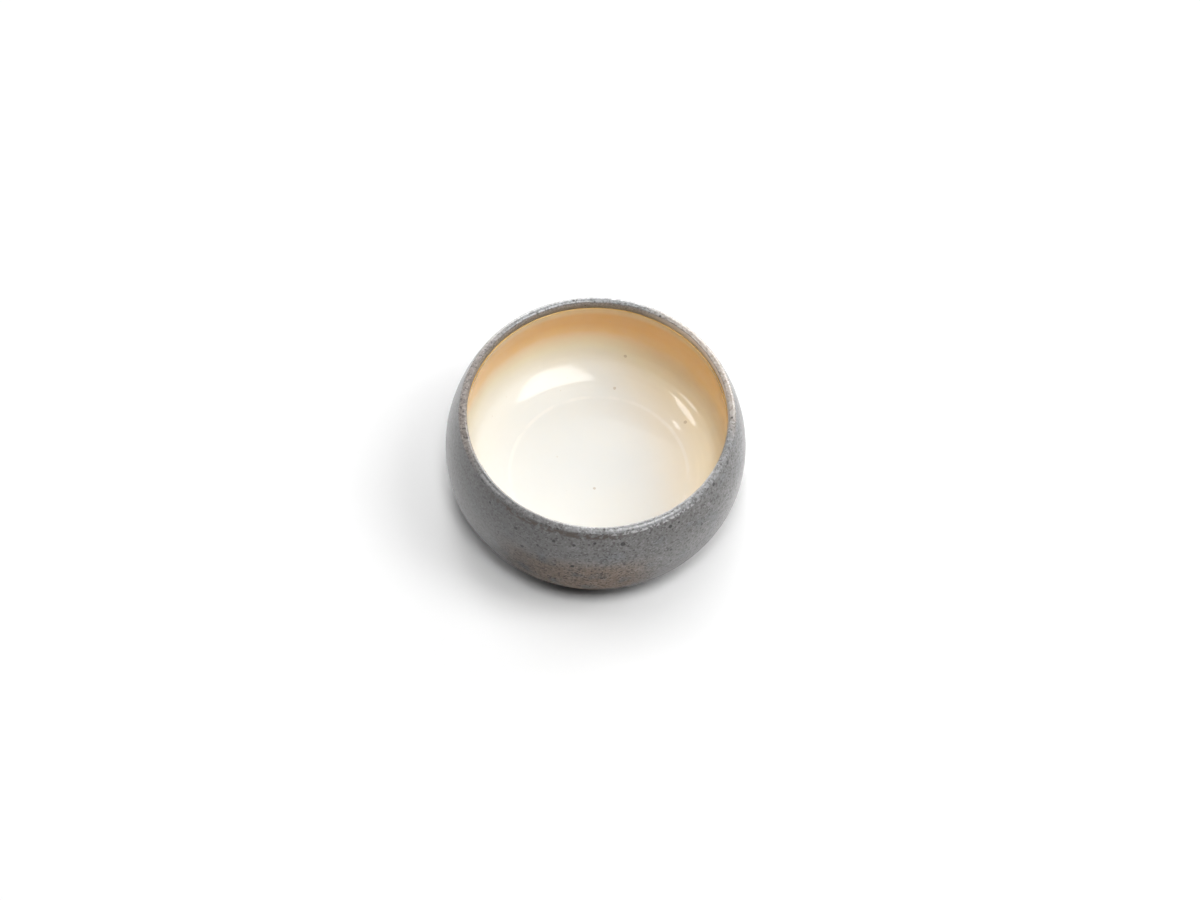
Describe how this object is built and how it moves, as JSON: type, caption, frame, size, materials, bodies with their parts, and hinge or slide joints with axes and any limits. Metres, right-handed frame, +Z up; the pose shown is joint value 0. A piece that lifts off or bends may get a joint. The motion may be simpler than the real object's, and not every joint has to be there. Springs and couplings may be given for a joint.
{
  "type": "tea cup",
  "caption": "Handleless round tea cup: thrown stoneware with a turned foot, a drawn-in lip, a satin grey glaze outside and a glossy cream glaze inside.",
  "frame": {"origin": "centre of the foot ring, on the table", "axes": "+Z up along the axis that the cup was turned about; the cup is round, so +X and +Y are free"},
  "size_m": [0.085, 0.085, 0.0409],
  "materials": {
    "bare_stoneware": "matt brown-grey fired clay with iron specks",
    "grey_glaze": "satin speckled blue-grey glaze",
    "cream_glaze": "glossy cream glaze with an orange blush under the lip"
  },
  "bodies": {
    "root": {"stoneware_body": "bare_stoneware", "outer_glaze": "grey_glaze", "liner_glaze": "cream_glaze"}
  },
  "joints": []
}
